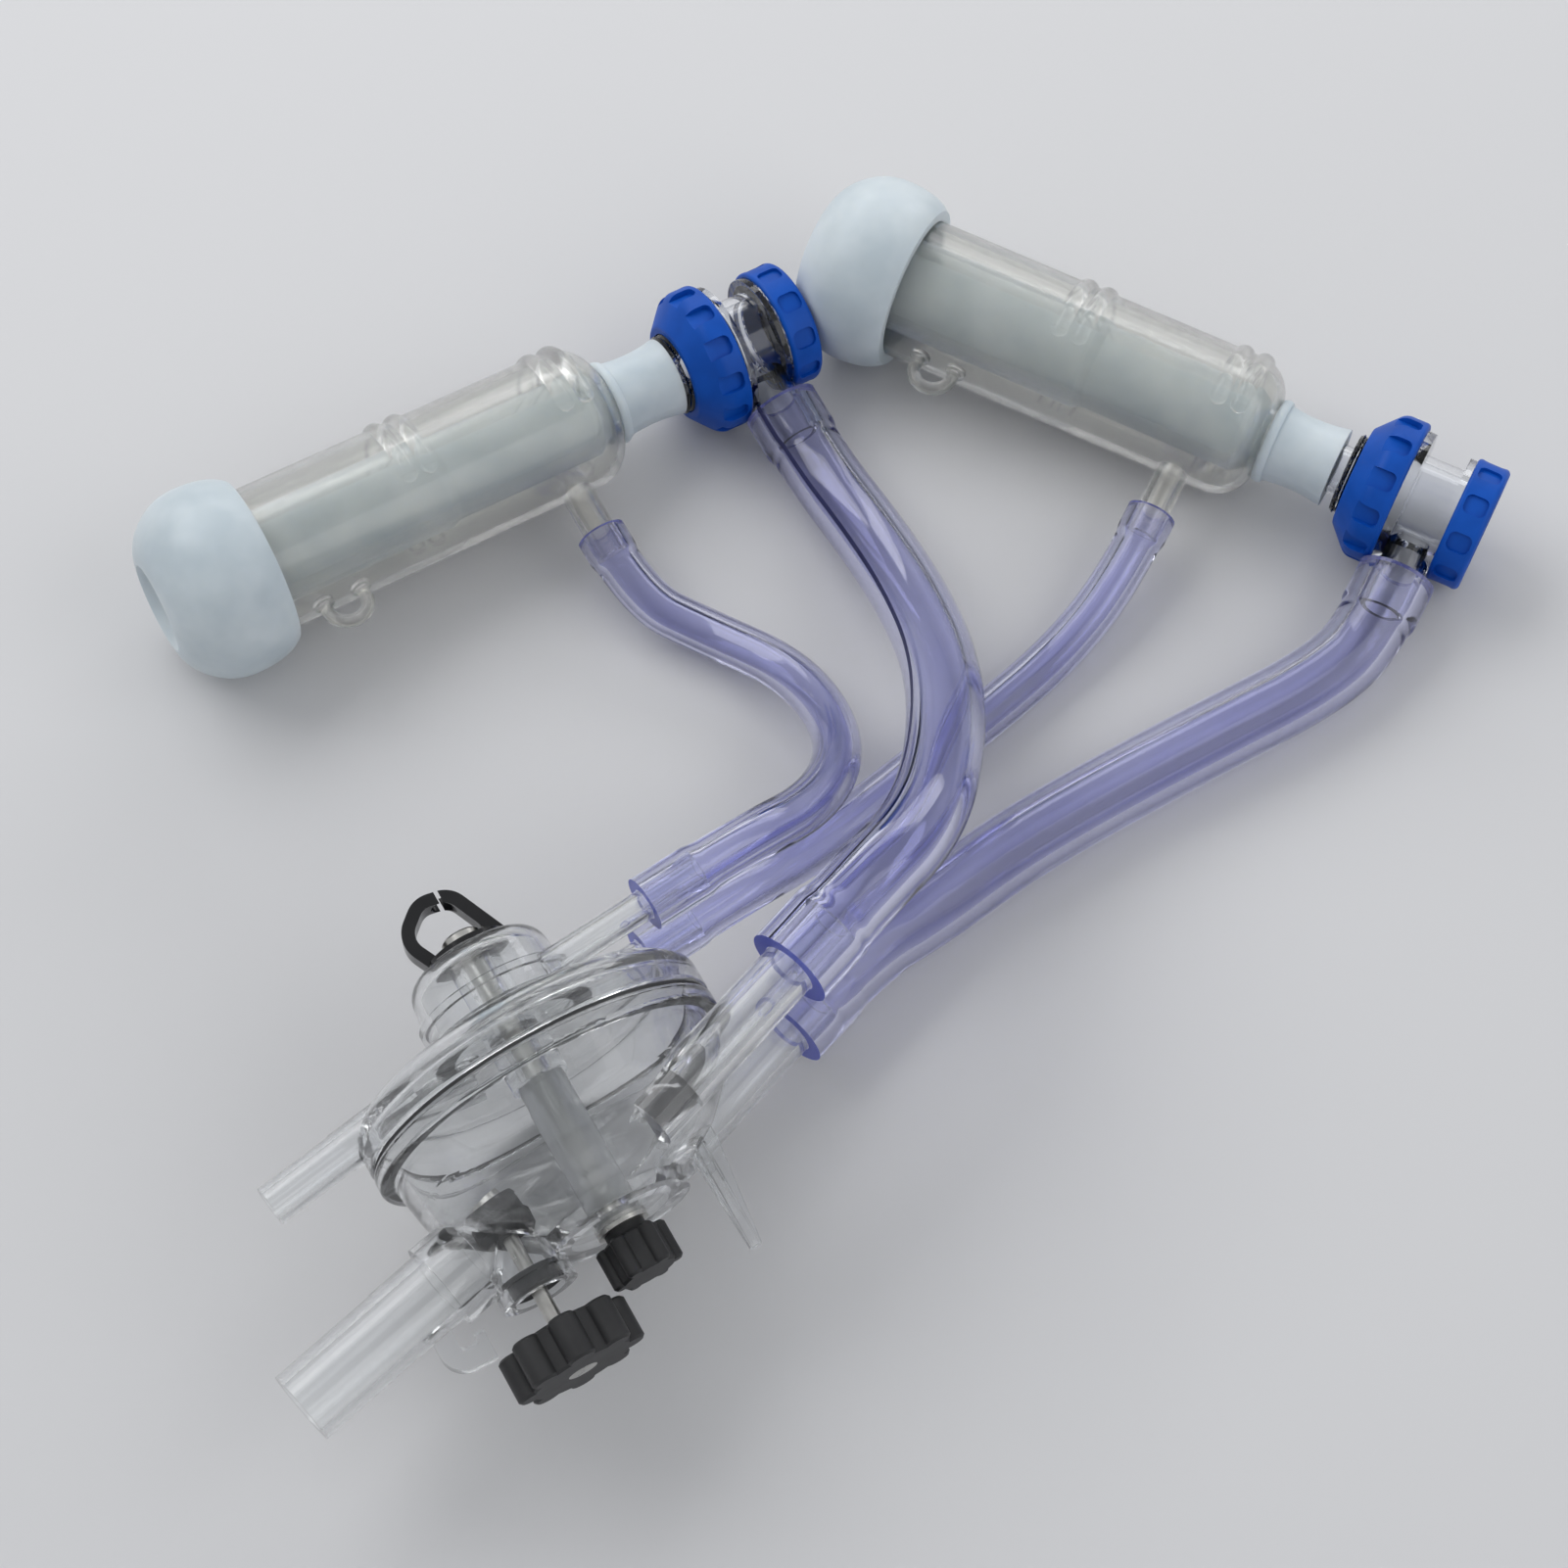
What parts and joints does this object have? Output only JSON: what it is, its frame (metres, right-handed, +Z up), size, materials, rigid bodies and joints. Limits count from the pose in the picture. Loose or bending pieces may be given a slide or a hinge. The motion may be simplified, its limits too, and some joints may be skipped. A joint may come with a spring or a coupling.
{
  "type": "milking claw",
  "caption": "Milking claw with clear bowl, pulse chamber and sliding shut-off, joined by clear tubes to teat cups with milky liners and blue-ringed automatic valves.",
  "frame": {"origin": "middle of the footprint of the laid-out set, on the table it lies on (without the free tubes)", "axes": "+Z up from the table, +X to the viewer's right, +Y away from the viewer; the claw stands on the edge of its rim and the cups lie side by side"},
  "size_m": [0.4073, 0.4006, 0.0998],
  "materials": {
    "cup_clear": "clear, slightly warm moulded plastic, polished",
    "claw_clear": "water-clear moulded plastic, polished",
    "valve_clear": "clear moulded plastic, polished",
    "tube_clear": "clear flexible hose with a blue-violet tint",
    "liner_silicone": "milky translucent silicone, satin",
    "blue_plastic": "saturated blue, satin",
    "black_matt": "matt black",
    "black_gloss": "gloss black",
    "seal_rubber": "dark rubber",
    "frosted": "frosted translucent",
    "stainless": "turned stainless steel"
  },
  "bodies": {
    "claw_and_cups": {"shell_a": "cup_clear", "liner_a": "liner_silicone", "valve_inlet_a": "valve_clear", "valve_gasket_a": "seal_rubber", "valve_ring_a": "blue_plastic", "valve_body_a": "valve_clear", "diaphragm_a": "seal_rubber", "valve_cap_a": "valve_clear", "cap_ring_a": "blue_plastic", "shell_b": "cup_clear", "liner_b": "liner_silicone", "valve_inlet_b": "valve_clear", "valve_gasket_b": "seal_rubber", "valve_ring_b": "blue_plastic", "valve_body_b": "valve_clear", "diaphragm_b": "seal_rubber", "valve_cap_b": "valve_clear", "cap_ring_b": "blue_plastic", "claw_bowl": "claw_clear", "claw_cover": "claw_clear", "rim_gasket": "seal_rubber", "pulse_chamber": "claw_clear", "chamber_seal": "seal_rubber", "hanging_hook": "black_gloss", "column_sleeve": "frosted", "through_bolt": "stainless", "clamp_washer": "stainless", "clamp_knob": "black_matt", "shutoff_seal": "seal_rubber", "milk_tube_a": "tube_clear", "milk_tube_b": "tube_clear", "pulse_tube_a": "tube_clear", "pulse_tube_b": "tube_clear"},
    "shutoff": {"shutoff_stem": "stainless", "shutoff_plunger": "seal_rubber", "shutoff_knob": "black_matt"}
  },
  "joints": [
    {"name": "shutoff_slide", "type": "slide", "parent": "claw_and_cups", "child": "shutoff", "axis": [0.5012, -0.8577, -0.1149], "range_m": [0, 0.007]}
  ]
}
